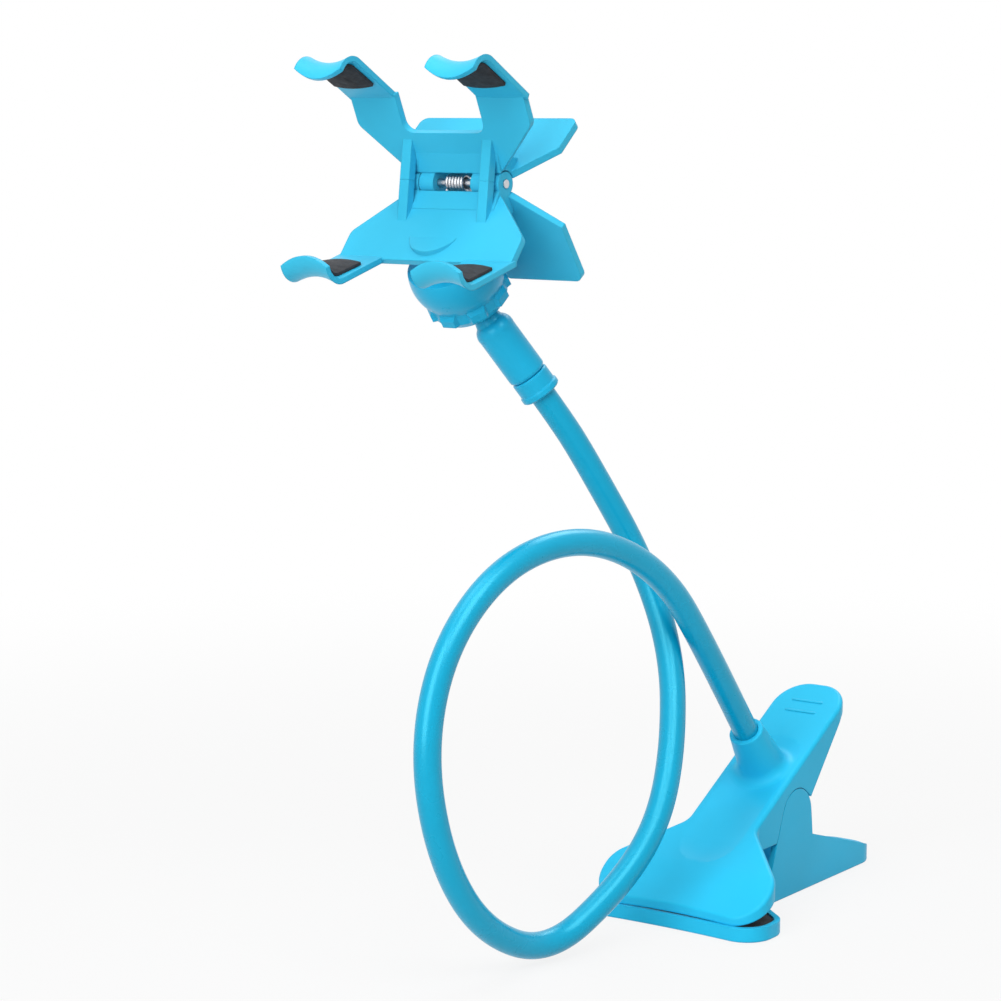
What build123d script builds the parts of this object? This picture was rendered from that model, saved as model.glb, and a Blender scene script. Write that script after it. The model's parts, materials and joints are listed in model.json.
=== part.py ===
from build123d import *
import os
from math import acos, atan2, cos, pi, radians, sin, sqrt, tan

# Desk-clamp gooseneck holder for a handset, in millimetres.
# Origin: on the desk under the clamp, a little in front of its hinge pin.
# +X runs along the pin, +Y towards the clamp's handles, +Z up. The jaws bite towards -Y.

# Clearances
run_fit = 0.05
tube_fit = 0.08
seat_gap = 0.2
skirt_gap = 0.3
side_gap = 0.4
jaw_gap = 0.05

# Clamp jaws, seen from above
foot_half = 35.0
foot_front = -62.0
foot_back = -45.5
foot_hollow = 2.0
waist_back = -25.5
lobe_round = 10.5
waist_round = 5.5
arm_half = 14.4
handle_round = 12.0
upper_rear = 45.5
lower_rear = 66.5
lower_margin = 1.6
jaw_wall = 2.2

# Lower jaw, seen from the side
floor_t = 2.0
rim_height = 5.2
rim_round = 0.8
pin_y = 3.5
pin_height = 29.0
clamp_swing = 45.0
ear_round = 10.6
ear_front = -17.0
ear_back = 17.0
rear_wall_top = 22.5
rear_wall_front = 8.0

# Upper jaw, seen from the side
plate_height = 45.4
jaw_slope = 29.5
toe_bend = -46.0
toe_slope = 37.0
toe_round = 60.0
plate_t = 3.4
lip_bend = -60.8
skirt_front = -26.0
skirt_low = 22.0
handle_rim = 5.0
skirt_back = 36.0
notch_y = 13.2
notch_z = 34.2
plate_round = 1.5
dish_depth = 1.5
dish_half = 11.8
dish_front = -34.0
dish_back = 8.0
grip_bar_length = 13.0
grip_bar_width = 1.0
grip_bar_height = 0.3
grip_bar_pitch = 6.0
grip_bar_from_end = 13.0

# Clamp hinge, spring and pads
lug_t = 2.6
lug_round = 7.6
clamp_pin_r = 2.0
clamp_pin_seat = 1.3
clamp_wire = 1.8
clamp_coil_r = 4.4
clamp_coil_turns = 6
coil_lay = 0.94
leg_shift = 0.3
leg_share = 0.46
clamp_leg_y = 30.0
lower_pad_t = 2.6
upper_pad_t = 2.0
pad_front = -57.0
pad_back = -36.0

# Socket boss and gooseneck
boss_r = 6.4
boss_taper = 7.0
boss_fillet = 4.0
boss_rim_round = 0.6
tube_r = 4.6
core_r = 3.0
tube_insert = 15.0
core_extra = 3.0

# Sleeve, ball and lock nut
collar_r = 6.9
collar_length = 8.0
collar_bead = 2.6
collar_bead_r = 7.4
collar_groove = 0.5
sleeve_r = 7.0
sleeve_length = 19.0
sleeve_round = 1.6
shoulder_length = 4.8
shoulder_share = 0.3
neck_r = 5.2
neck_waist_r = 3.2
ball_r = 7.5
ball_reach = 46.0
ball_fit = 0.1
nut_dome_r = 16.8
nut_dome_behind = 8.9
nut_back = 14.0
nut_ring_r = 13.9
nut_ring_front = 4.6
nut_front = 7.2
nut_lip = 3.0
nut_lip_r = 6.8
nut_mouth_r = 11.0
nut_mouth_rim = 1.0
nut_rib_count = 8
nut_rib_width = 7.0
nut_rib_height = 1.2
nut_rib_length = 4.4
stem_r = 10.4
stem_length = 26.0
stem_end_gap = 0.5
notch_lead = 1.3
notch_margin = 0.6

# Clip head: its lean, and the ball's place behind and below the middle of the grip
head_lean = 7.0
socket_angle = 45.0
ball_behind = 48.3
ball_below = 36.0

# Clip claws
claw_pitch = 55.5
claw_width = 20.0
claw_t = 2.0
hook_r = 7.8
hook_behind = 0.6
hook_above = 28.3
roof_slope = 17.6
roof_depth = 23.5
claw_rise = 2.3
tip_angle = 169.5
tip_lift = 10.0
claw_pad_t = 1.0
claw_pad_inset = 1.5
claw_pad_depth = 12.0
claw_pad_tip = 8.0

# Clip arms, wings and hinge
hinge_behind = 40.0
clip_wall = 2.6
body_half = 20.0
arm_root_y = -2.5
arm_root_z = 4.0
arm_lean = 31.4
arm_length = 28.3
arm_inset = 1.0
arm_spread_at = 17.0
arm_window_at = 14.0
arm_window_inset = 0.5
arm_round = 4.0
wing_root_y = 2.0
wing_root_z = 4.0
wing_lean = 48.0
upper_wing_length = 28.0
upper_wing_half = 33.5
lower_wing_length = 36.0
lower_wing_half = 37.0
wing_spread_at = 13.0
wing_round = 8.0
wing_tip_round = 3.0
spine_low = 2.5
spine_high = 9.5
spine_half_low = 3.2
spine_half_high = 6.0
knuckle_r = 4.2
knuckle_gap = 0.4
knuckle_web = 6.2
spring_bay_half = 8.0
inner_knuckle_half = 14.0
stop_front = -8.6
stop_back = -5.2
stop_width = 4.0
stop_inset = 1.0
stop_top = 14.5
stop_top_back = 9.5
clip_pin_r = 1.5
clip_wire = 1.2
clip_coil_r = 2.7
clip_coil_turns = 8
clip_leg_reach = 17.0

# Gooseneck route: corner points of its centre line, from the boss rim to the collar
route = [
    Vector(0, -9.8, 62),
    Vector(0, -36.5, 95.5),
    Vector(-3, -62.5, 128),
    Vector(-10, -98, 144.5),
    Vector(-17.5, -134, 140),
    Vector(-22, -162, 117),
    Vector(-22, -175, 84),
    Vector(-19.5, -169.5, 46.5),
    Vector(-17.5, -149, 17),
    Vector(-12.5, -118, 2.5),
    Vector(-1, -92.5, 21.5),
    Vector(3.5, -74, 41),
    Vector(0.5, -60, 66),
    Vector(-9.5, -45.5, 95.5),
    Vector(-24, -43, 127),
    Vector(-36.5, -59.5, 163),
    Vector(-43, -67, 179),
    Vector(-47.5, -72.5, 188.5),
]

os.makedirs("parts", exist_ok=True)


def deg_sin(angle):
    return sin(radians(angle))


def deg_cos(angle):
    return cos(radians(angle))


def tangent_point(centre, radius, target, side):
    """Point where the line from target touches the circle, on the side given by +1 or -1."""
    reach = target - centre
    turn = acos(radius / reach.length)
    angle = atan2(reach.Y, reach.X) + side * turn
    return centre + Vector(radius * cos(angle), radius * sin(angle))


def jaw_outline(half, front, back, rear):
    """Jaw seen from above: a wide foot with round lobes, a waist and a round-ended arm."""
    with BuildSketch() as outline:
        with BuildLine():
            Polyline(
                (half, front), (half, back), (arm_half, waist_back),
                (arm_half, rear), (-arm_half, rear), (-arm_half, waist_back),
                (-half, back), (-half, front),
            )
            ThreePointArc((-half, front), (0, front + foot_hollow), (half, front))
        make_face()
        corners = outline.vertices()
        fillet(corners.filter_by(lambda corner: abs(corner.X) > arm_half + 1), lobe_round)
        waist = outline.vertices().filter_by(lambda corner: abs(corner.Y - waist_back) < 0.01)
        fillet(waist, waist_round)
        fillet(outline.vertices().filter_by(lambda corner: abs(corner.Y - rear) < 0.01), handle_round)
    return outline.sketch


def upper_outline():
    return jaw_outline(foot_half, foot_front, foot_back, upper_rear)


def lower_outline():
    return jaw_outline(
        foot_half + lower_margin, foot_front - lower_margin, foot_back + lower_margin, lower_rear
    )


def ear_outline():
    """Hinge ear seen from the side, about the pin: a round top that runs down to the rim."""
    with BuildSketch() as ear:
        Circle(ear_round)
        with Locations(((ear_front + ear_back) / 2 - pin_y, rim_height / 2 - pin_height)):
            Rectangle(ear_back - ear_front, rim_height)
        make_hull()
    return ear.sketch


def plate_top(y):
    """Height of the upper jaw's top face: a straight slope that bends down at its toe."""
    slope = tan(radians(jaw_slope))
    toe = max(0, toe_bend - y) * (tan(radians(toe_slope)) - slope)
    return plate_height + y * slope - toe


# Clamp lower jaw: a tray with a rim, two hinge ears and a tapering rear arm
lower_width = 2 * (foot_half + lower_margin)
ear_top = pin_height + ear_round
ear_inside = arm_half - jaw_wall
with BuildPart() as clamp_lower_jaw:
    with BuildSketch():
        add(lower_outline())
    extrude(amount=ear_top)
    with BuildSketch(Plane.YZ):
        with BuildLine():
            Polyline(
                (foot_front - lower_margin - 1, 0),
                (foot_front - lower_margin - 1, rim_height),
                (rear_wall_front, rim_height),
                (rear_wall_front, rear_wall_top),
                (lower_rear - jaw_wall, rim_height),
                (lower_rear + 1, rim_height),
                (lower_rear + 1, 0),
                close=True,
            )
        make_face()
        with Locations((pin_y, pin_height)):
            add(ear_outline())
    extrude(amount=lower_width / 2 + 1, both=True, mode=Mode.INTERSECT)
    with BuildSketch(Plane.XY.offset(floor_t)):
        add(lower_outline())
        offset(amount=-jaw_wall, kind=Kind.INTERSECTION, mode=Mode.REPLACE)
    extrude(amount=ear_top, mode=Mode.SUBTRACT)
    with BuildSketch(Plane.YZ):
        with Locations((pin_y, pin_height)):
            Circle(clamp_pin_r + run_fit)
    extrude(amount=ear_inside + clamp_pin_seat, both=True, mode=Mode.SUBTRACT)
    rim_edges = clamp_lower_jaw.faces().filter_by(Axis.Z).sort_by(Axis.Z)[0].edges()
    fillet(rim_edges, rim_round)
clamp_lower_jaw.part.label = "clamp_lower_jaw"
export_step(clamp_lower_jaw.part, "parts/clamp_lower_jaw.step")

# Hollow under the upper jaw's plate, inside its lip and skirts
plate_end = upper_rear + 1
plate_start = foot_front - 1


def under_plate(inset, depth, front, back):
    """Room under the sloping plate: inset from the jaw's outline, depth down from the plate."""
    with BuildPart() as room:
        with BuildSketch():
            add(upper_outline())
            offset(amount=-inset, kind=Kind.INTERSECTION, mode=Mode.REPLACE)
        extrude(amount=plate_top(plate_end))
        with BuildSketch(Plane.YZ):
            with BuildLine():
                Polyline(
                    *((y, plate_top(y) - plate_t) for y in (front, toe_bend, back)),
                    *((y, plate_top(y) - plate_t - depth) for y in (back, toe_bend, front)),
                    close=True,
                )
            make_face()
        extrude(amount=foot_half, both=True, mode=Mode.INTERSECT)
    return room.part


# Clamp upper jaw: a sloping plate with a lip, side skirts, hinge lugs and the tube's boss
lip_low = rim_height + jaw_gap
slope_dir = Vector(0, deg_cos(jaw_slope), deg_sin(jaw_slope))
plate_normal = Vector(0, -deg_sin(jaw_slope), deg_cos(jaw_slope))
boss_axis = (route[1] - route[0]).normalized()
boss_plane = Plane(origin=route[0], x_dir=(1, 0, 0), z_dir=boss_axis)
boss_height = (route[0] - Vector(0, 0, plate_top(0))).dot(plate_normal)
boss_length = boss_height / boss_axis.dot(plate_normal) + plate_t
dish_r = (dish_half**2 + dish_depth**2) / (2 * dish_depth)
dish_ends = [
    Vector(0, y, plate_top(y)) + plate_normal * (dish_r - dish_depth) for y in (dish_front, dish_back)
]
lug_outside = ear_inside - side_gap
grip_y = upper_rear - grip_bar_from_end
grip_plane = Plane(origin=(0, grip_y, plate_top(grip_y)), x_dir=(1, 0, 0), z_dir=plate_normal)
with BuildPart() as clamp_upper_jaw:
    with BuildSketch():
        add(upper_outline())
    extrude(amount=plate_top(plate_end) + 1)
    with BuildSketch(Plane.YZ) as side_view:
        with BuildLine():
            Polyline(
                (plate_start, plate_top(plate_start)),
                (toe_bend, plate_top(toe_bend)),
                (plate_end, plate_top(plate_end)),
                (plate_end, plate_top(plate_end) - handle_rim),
                (skirt_back, plate_top(skirt_back) - handle_rim),
                (notch_y, notch_z),
                (pin_y, pin_height),
                (pin_y, skirt_low),
                (skirt_front, skirt_low),
                (lip_bend, lip_low),
                (plate_start, lip_low),
                close=True,
            )
        make_face()
        toe_corner = side_view.vertices().filter_by(lambda corner: abs(corner.X - toe_bend) < 0.01)
        fillet(toe_corner, toe_round)
    extrude(amount=foot_half + 1, both=True, mode=Mode.INTERSECT)
    with BuildSketch(Plane.YZ):
        with Locations((pin_y, pin_height)):
            for swing in (0, clamp_swing):
                add(ear_outline(), rotation=swing)
        offset(amount=skirt_gap, mode=Mode.REPLACE)
    extrude(amount=foot_half + 1, both=True, mode=Mode.SUBTRACT)
    top_edges = clamp_upper_jaw.faces().filter_by(lambda face: face.normal_at().Z > 0.5).edges()
    creases = top_edges.filter_by(Axis.X).filter_by(lambda edge: foot_front < edge.center().Y < 0)
    fillet(top_edges - creases, plate_round)
    with BuildSketch(Plane(origin=dish_ends[0], x_dir=(1, 0, 0), z_dir=slope_dir)):
        Circle(dish_r)
    extrude(amount=(dish_ends[1] - dish_ends[0]).length, mode=Mode.SUBTRACT)
    with Locations(*dish_ends):
        Sphere(dish_r, mode=Mode.SUBTRACT)
    with BuildSketch(boss_plane):
        Circle(boss_r)
    extrude(amount=-boss_length, taper=-boss_taper)
    boss_curves = clamp_upper_jaw.faces().filter_by(GeomType.CONE).edges()
    boss_curves = boss_curves.filter_by(GeomType.LINE, reverse=True)
    boss_root = boss_curves.filter_by(lambda edge: boss_plane.to_local_coords(edge.center()).Z < -1)
    fillet(boss_root, boss_fillet)
    boss_rim = clamp_upper_jaw.edges().filter_by(GeomType.CIRCLE)
    fillet(boss_rim.filter_by(lambda edge: (edge.arc_center - route[0]).length < 0.01), boss_rim_round)
    add(under_plate(jaw_wall, plate_top(plate_end), plate_start, plate_end + 1), mode=Mode.SUBTRACT)
    for side in (-1, 1):
        with BuildSketch(Plane.YZ.offset(side * (lug_outside - lug_t / 2))):
            with Locations((pin_y, pin_height)):
                Circle(lug_round)
            with BuildLine():
                Polyline(
                    (pin_y - lug_round, pin_height),
                    (pin_y + lug_round, pin_height),
                    (pin_y + lug_round, plate_top(pin_y + lug_round) - plate_t / 2),
                    (pin_y - lug_round, plate_top(pin_y - lug_round) - plate_t / 2),
                    close=True,
                )
            make_face()
        extrude(amount=lug_t / 2, both=True)
    with BuildSketch(Plane.YZ):
        with Locations((pin_y, pin_height)):
            Circle(clamp_pin_r + run_fit)
    extrude(amount=lug_outside + side_gap / 2, both=True, mode=Mode.SUBTRACT)
    with BuildSketch(boss_plane):
        Circle(tube_r + tube_fit)
    extrude(amount=-tube_insert, mode=Mode.SUBTRACT)
    with BuildSketch(boss_plane):
        Circle(core_r + seat_gap)
    extrude(amount=-tube_insert - core_extra, mode=Mode.SUBTRACT)
    with BuildSketch(grip_plane):
        with GridLocations(0, grip_bar_pitch, 1, 2):
            SlotOverall(grip_bar_length, grip_bar_width)
    extrude(amount=grip_bar_height)
clamp_upper_jaw.part.label = "clamp_upper_jaw"
export_step(clamp_upper_jaw.part, "parts/clamp_upper_jaw.step")

# Clamp hinge pin: seated in blind holes inside the ears
with BuildPart() as clamp_hinge_pin:
    with BuildSketch(Plane.YZ):
        with Locations((pin_y, pin_height)):
            Circle(clamp_pin_r)
    extrude(amount=ear_inside + clamp_pin_seat - run_fit, both=True)
clamp_hinge_pin.part.label = "clamp_hinge_pin"
export_step(clamp_hinge_pin.part, "parts/clamp_hinge_pin.step")


def coil_row(coil_r, wire, turns):
    """Section of a close-wound coil: overlapping wire circles in a row."""
    with BuildSketch() as row:
        with Locations((0, coil_r)):
            with GridLocations(coil_lay * wire, 0, turns, 1):
                Circle(wire / 2)
    return row.sketch


def leg_place(wire, turns):
    """Distance from the coil's middle to the straight leg that leaves its end."""
    return coil_lay * wire * (turns - 1) / 2 - leg_shift * wire


# Clamp spring: one leg on the lower arm's floor, the other under the upper plate
clamp_coil_plane = Plane(origin=(0, pin_y, pin_height), x_dir=(1, 0, 0), z_dir=(0, -1, 0))
clamp_leg_x = leg_place(clamp_wire, clamp_coil_turns)
leg_floor = Vector(clamp_leg_y, floor_t + clamp_wire / 2 + seat_gap)
leg_plate = Vector(
    clamp_leg_y, plate_top(clamp_leg_y) - plate_t - (clamp_wire / 2 + seat_gap) / deg_cos(jaw_slope)
)
clamp_pin_spot = Vector(pin_y, pin_height)
with BuildPart() as clamp_spring:
    with BuildSketch(clamp_coil_plane):
        add(coil_row(clamp_coil_r, clamp_wire, clamp_coil_turns))
    revolve(axis=Axis((0, pin_y, pin_height), (1, 0, 0)))
    for leg_x, target, side in ((-clamp_leg_x, leg_floor, -1), (clamp_leg_x, leg_plate, 1)):
        start = tangent_point(clamp_pin_spot, clamp_coil_r, target, side)
        leg = Vector(0, target.X - start.X, target.Y - start.Y)
        with BuildSketch(Plane(origin=(leg_x, start.X, start.Y), x_dir=(1, 0, 0), z_dir=leg)):
            Circle(leg_share * clamp_wire)
        extrude(amount=leg.length)
clamp_spring.part.label = "clamp_spring"
export_step(clamp_spring.part, "parts/clamp_spring.step")

# Lower jaw pad: lies in the front of the tray
with BuildPart() as lower_jaw_pad:
    with BuildSketch(Plane.XY.offset(floor_t)):
        add(lower_outline())
        offset(amount=-jaw_wall - seat_gap, kind=Kind.INTERSECTION, mode=Mode.REPLACE)
        with Locations((0, pad_back)):
            Rectangle(lower_width, lower_rear - pad_back, align=(Align.CENTER, Align.MIN), mode=Mode.SUBTRACT)
    extrude(amount=lower_pad_t)
lower_jaw_pad.part.label = "lower_jaw_pad"
export_step(lower_jaw_pad.part, "parts/lower_jaw_pad.step")

# Upper jaw pad: under the front of the sloping plate
with BuildPart() as upper_jaw_pad:
    add(under_plate(jaw_wall + seat_gap, upper_pad_t, pad_front, pad_back))
upper_jaw_pad.part.label = "upper_jaw_pad"
export_step(upper_jaw_pad.part, "parts/upper_jaw_pad.step")

# Gooseneck: a plastic sheath on a soft metal rod, bent into a loop that stands on the desk
sleeve_axis = (route[-1] - route[-2]).normalized()


def route_path(extra):
    """Straight runs joined by arcs as large as the runs allow."""
    points = [
        route[0] - boss_axis * extra,
        *route[1:-1],
        route[-1] + sleeve_axis * extra,
    ]
    radii = []
    for before, corner, after in zip(points, points[1:], points[2:]):
        turn = radians((corner - before).get_angle(after - corner))
        shorter = min((corner - before).length, (after - corner).length)
        radii.append(0.45 * shorter / tan(turn / 2))
    with BuildLine() as line:
        FilletPolyline(*points, radius=radii)
    return line.line


tube_end_plane = Plane(origin=route[0] - boss_axis * tube_insert, z_dir=boss_axis)
with BuildPart() as gooseneck_sheath:
    with BuildSketch(tube_end_plane):
        Circle(tube_r)
        Circle(core_r + seat_gap / 2, mode=Mode.SUBTRACT)
    sweep(path=route_path(tube_insert))
gooseneck_sheath.part.label = "gooseneck_sheath"
export_step(gooseneck_sheath.part, "parts/gooseneck_sheath.step")

core_line = route_path(tube_insert + core_extra - seat_gap)
with BuildPart() as gooseneck_core:
    with BuildSketch(tube_end_plane.offset(seat_gap - core_extra)):
        Circle(core_r)
    sweep(path=core_line)
gooseneck_core.part.label = "gooseneck_core"
export_step(gooseneck_core.part, "parts/gooseneck_core.step")
core_length = sum(edge.length for edge in core_line.edges())
print("core volume", round(gooseneck_core.part.volume), round(pi * core_r**2 * core_length))

# Sleeve collar: a ring with an end bead round the tube's upper end
sleeve_plane = Plane(origin=route[-1], x_dir=(1, 0, 0), z_dir=sleeve_axis)
sleeve_side = Plane(origin=route[-1], x_dir=sleeve_plane.x_dir, z_dir=-sleeve_plane.y_dir)
sleeve_line = Axis(route[-1], sleeve_axis)
with BuildPart() as sleeve_collar:
    with BuildSketch(sleeve_side):
        with BuildLine():
            Polyline(
                (tube_r + tube_fit, 0),
                (collar_bead_r - collar_groove, 0),
                (collar_bead_r, collar_groove),
                (collar_bead_r, collar_bead - collar_groove),
                (collar_r, collar_bead),
                (collar_r, collar_length - collar_groove),
                (collar_r - collar_groove, collar_length),
                (tube_r + tube_fit, collar_length),
                close=True,
            )
        make_face()
    revolve(axis=sleeve_line)
sleeve_collar.part.label = "sleeve_collar"
export_step(sleeve_collar.part, "parts/sleeve_collar.step")

# Ball sleeve: a barrel on the tube's end, a domed shoulder, a neck and the ball
barrel_end = collar_length + sleeve_length
shoulder_end = barrel_end + shoulder_length
ball_centre = route[-1] + sleeve_axis * ball_reach
with BuildPart() as ball_sleeve:
    with BuildSketch(sleeve_side) as sleeve_half:
        with BuildLine():
            Polyline((0, ball_reach), (0, collar_length), (sleeve_r, collar_length), (sleeve_r, barrel_end))
            ThreePointArc(
                (sleeve_r, barrel_end),
                (
                    sleeve_r - shoulder_share * (sleeve_r - neck_r),
                    shoulder_end - shoulder_share * shoulder_length,
                ),
                (neck_r, shoulder_end),
            )
            Polyline(
                (neck_r, shoulder_end),
                (neck_waist_r, ball_reach - ball_r),
                (neck_waist_r, ball_reach),
                (0, ball_reach),
            )
        make_face()
        barrel_corner = sleeve_half.vertices().filter_by(lambda corner: corner.Y < collar_length + 1)
        fillet(barrel_corner.sort_by(Axis.X)[-1], sleeve_round)
    revolve(axis=sleeve_line)
    with Locations(ball_centre):
        Sphere(ball_r)
    with BuildSketch(sleeve_plane.offset(collar_length)):
        Circle(tube_r + tube_fit)
    extrude(amount=tube_insert - collar_length, mode=Mode.SUBTRACT)
    with BuildSketch(sleeve_plane.offset(collar_length)):
        Circle(core_r + seat_gap)
    extrude(amount=tube_insert - collar_length + core_extra, mode=Mode.SUBTRACT)
ball_sleeve.part.label = "ball_sleeve"
export_step(ball_sleeve.part, "parts/ball_sleeve.step")

# Head frame: x across the grip, y away from the user, z up the grip
back_dir = Vector(0, deg_cos(head_lean), -deg_sin(head_lean))
up_dir = Vector(0, deg_sin(head_lean), deg_cos(head_lean))
head = Plane(
    origin=ball_centre - back_dir * ball_behind + up_dir * ball_below, x_dir=(1, 0, 0), z_dir=up_dir
)
socket_axis = back_dir * deg_sin(socket_angle) - up_dir * deg_cos(socket_angle)
socket_plane = Plane(origin=ball_centre, x_dir=(1, 0, 0), z_dir=socket_axis)
socket_side = Plane(origin=ball_centre, x_dir=socket_plane.x_dir, z_dir=-socket_plane.y_dir)
socket_line = Axis(ball_centre, socket_axis)


def side_plane(x):
    """Plane across the head at x: its first axis runs back, its second runs up."""
    return Plane(origin=head.from_local_coords((x, 0, 0)), x_dir=back_dir, z_dir=(1, 0, 0))


# Ball lock nut: a round dome that ends in a ring of grip blocks
nut_back_r = sqrt(nut_dome_r**2 - (nut_back - nut_dome_behind) ** 2)
dome_end = sqrt(nut_dome_r**2 - nut_ring_r**2) - nut_dome_behind
with BuildPart() as ball_lock_nut:
    with BuildSketch(socket_side):
        with BuildLine():
            Polyline(
                (nut_ring_r, dome_end),
                (nut_ring_r, nut_ring_front),
                (nut_mouth_r + nut_mouth_rim, nut_front),
                (0, nut_front),
                (0, -nut_back),
                (nut_back_r, -nut_back),
            )
            ThreePointArc(
                (nut_back_r, -nut_back), (nut_dome_r, -nut_dome_behind), (nut_ring_r, dome_end)
            )
        make_face()
    revolve(axis=socket_line)
    with BuildSketch(socket_plane.offset(nut_ring_front)):
        with PolarLocations(nut_ring_r, nut_rib_count):
            Rectangle(2 * nut_rib_height, nut_rib_width)
    extrude(amount=-nut_rib_length)
    with BuildSketch(socket_side):
        with BuildLine():
            Polyline(
                (0, -nut_back), (stem_r + run_fit, -nut_back), (stem_r + run_fit, 0), (0, 0), close=True
            )
        make_face()
        with BuildLine():
            Polyline(
                (0, nut_lip), (nut_lip_r, nut_lip), (nut_mouth_r, nut_front), (0, nut_front), close=True
            )
        make_face()
    revolve(axis=socket_line, mode=Mode.SUBTRACT)
    with Locations(ball_centre):
        Sphere(ball_r + ball_fit, mode=Mode.SUBTRACT)
ball_lock_nut.part.label = "ball_lock_nut"
export_step(ball_lock_nut.part, "parts/ball_lock_nut.step")


def on_hook(radius, angle, rise):
    """Point on a hook's circle, seen from the side."""
    return (hook_behind + radius * deg_cos(angle), hook_above + rise + radius * deg_sin(angle))


def hook_face(plane, radius, thickness, depth, tip, rise):
    """One section of a claw: a lip, a round hook over the edge and a roof that slopes back."""
    roof_angle = 90 - roof_slope
    inner = radius - thickness
    middle = (roof_angle + tip) / 2
    drop = depth * deg_sin(roof_slope) + rise * depth / roof_depth
    run = depth * deg_cos(roof_slope)
    roof_top = on_hook(radius, roof_angle, rise)
    roof_low = on_hook(inner, roof_angle, rise)
    with BuildSketch(plane) as face:
        with BuildLine():
            Polyline(
                roof_top,
                (roof_top[0] + run, roof_top[1] - drop),
                (roof_low[0] + run, roof_low[1] - drop),
                roof_low,
            )
            ThreePointArc(roof_low, on_hook(inner, middle, rise), on_hook(inner, tip, rise))
            Line(on_hook(inner, tip, rise), on_hook(radius, tip, rise))
            ThreePointArc(on_hook(radius, tip, rise), on_hook(radius, middle, rise), roof_top)
        make_face()
    return face.sketch


def hook_loft(x, width, radius, thickness, depth, tip):
    """Saddle-shaped claw or pad: its two ends stand higher, with a shorter lip, than its middle."""
    share = (width / claw_width) ** 2
    sections = [
        hook_face(
            side_plane(x + step * width), radius, thickness, depth, tip - tip_lift * part, claw_rise * part
        )
        for step, part in ((-0.5, share), (0.0, 0.0), (0.5, share))
    ]
    with BuildPart() as hook:
        loft(sections)
    return hook.part


def claw(side):
    return hook_loft(side * claw_pitch / 2, claw_width, hook_r, claw_t, roof_depth, tip_angle)


def claw_pad(side):
    return hook_loft(
        side * claw_pitch / 2,
        claw_width - 2 * claw_pad_inset,
        hook_r - claw_t - seat_gap,
        claw_pad_t,
        claw_pad_depth,
        tip_angle - claw_pad_tip,
    )


# Clip plates: the arms run forward to the claws, the wings run back to be squeezed
arm_dir = up_dir * deg_cos(arm_lean) - back_dir * deg_sin(arm_lean)
wing_dir = up_dir * deg_sin(wing_lean) + back_dir * deg_cos(wing_lean)
across = Vector(1, 0, 0)
arm_plane = Plane(
    origin=head.from_local_coords(Vector(0, hinge_behind + arm_root_y, arm_root_z)),
    x_dir=across,
    z_dir=across.cross(arm_dir),
)
wing_plane = Plane(
    origin=head.from_local_coords(Vector(0, hinge_behind + wing_root_y, wing_root_z)),
    x_dir=across,
    z_dir=across.cross(wing_dir),
)
arm_outside = (claw_pitch + claw_width) / 2 - arm_inset
window_half = (claw_pitch - claw_width) / 2 - arm_window_inset


def clip_plates(wing_half, wing_length):
    """Upper half of the clip without its knuckles: the lower half starts as its mirror image."""
    with BuildPart() as plates:
        with BuildSketch(arm_plane) as arms:
            with BuildLine():
                Polyline(
                    (0, 0),
                    (body_half, 0),
                    (arm_outside, arm_spread_at),
                    (arm_outside, arm_length),
                    (0, arm_length),
                )
                mirror(about=Plane.YZ)
            make_face()
            fillet(arms.vertices().filter_by(lambda corner: abs(corner.Y - arm_spread_at) < 0.01), arm_round)
        extrude(amount=-clip_wall)
        with BuildSketch(wing_plane) as wings:
            with BuildLine():
                Polyline(
                    (0, 0),
                    (body_half, 0),
                    (wing_half, wing_spread_at),
                    (wing_half, wing_length),
                    (0, wing_length),
                )
                mirror(about=Plane.YZ)
            make_face()
            wing_corners = wings.vertices().filter_by(lambda corner: abs(corner.X) > body_half + 1)
            wing_tips = wing_corners.filter_by(lambda corner: corner.Y > wing_length - 0.01)
            fillet(wing_tips, wing_tip_round)
            fillet(wing_corners - wing_tips, wing_round)
        extrude(amount=-clip_wall)
        with BuildSketch(side_plane(-body_half)):
            with BuildLine():
                Polyline(
                    (hinge_behind - spine_half_low, spine_low),
                    (hinge_behind + spine_half_low, spine_low),
                    (hinge_behind + spine_half_high, spine_high),
                    (hinge_behind - spine_half_high, spine_high),
                    close=True,
                )
            make_face()
        extrude(amount=2 * body_half)
        with BuildSketch(side_plane(0)):
            with Locations((hinge_behind, 0)):
                Circle(knuckle_r + knuckle_gap)
        extrude(amount=body_half + side_gap, both=True, mode=Mode.SUBTRACT)
        for x in (-body_half + stop_inset, body_half - stop_inset - stop_width):
            with BuildSketch(side_plane(x)):
                with BuildLine():
                    Polyline(
                        (hinge_behind + stop_front, 0),
                        (hinge_behind + stop_back, 0),
                        (hinge_behind + stop_back, stop_top_back),
                        (hinge_behind + stop_front, stop_top),
                        close=True,
                    )
                make_face()
            extrude(amount=stop_width)
        for side in (-1, 1):
            add(claw(side))
    return plates.part


def knuckles(inner, outer, way):
    """Two hinge knuckles with webs that run up or down into their half of the clip."""
    with BuildPart() as pair:
        for x in (-outer, inner):
            with BuildSketch(side_plane(x)):
                with Locations((hinge_behind, 0)):
                    Circle(knuckle_r)
                with BuildLine():
                    Polyline(
                        (hinge_behind - spine_half_low, 0),
                        (hinge_behind + spine_half_low, 0),
                        (hinge_behind + spine_half_low, way * knuckle_web),
                        (hinge_behind - spine_half_low, way * knuckle_web),
                        close=True,
                    )
                make_face()
            extrude(amount=outer - inner)
        with BuildSketch(side_plane(0)):
            with Locations((hinge_behind, 0)):
                Circle(clip_pin_r + run_fit)
        extrude(amount=outer + side_gap, both=True, mode=Mode.SUBTRACT)
    return pair.part


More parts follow.
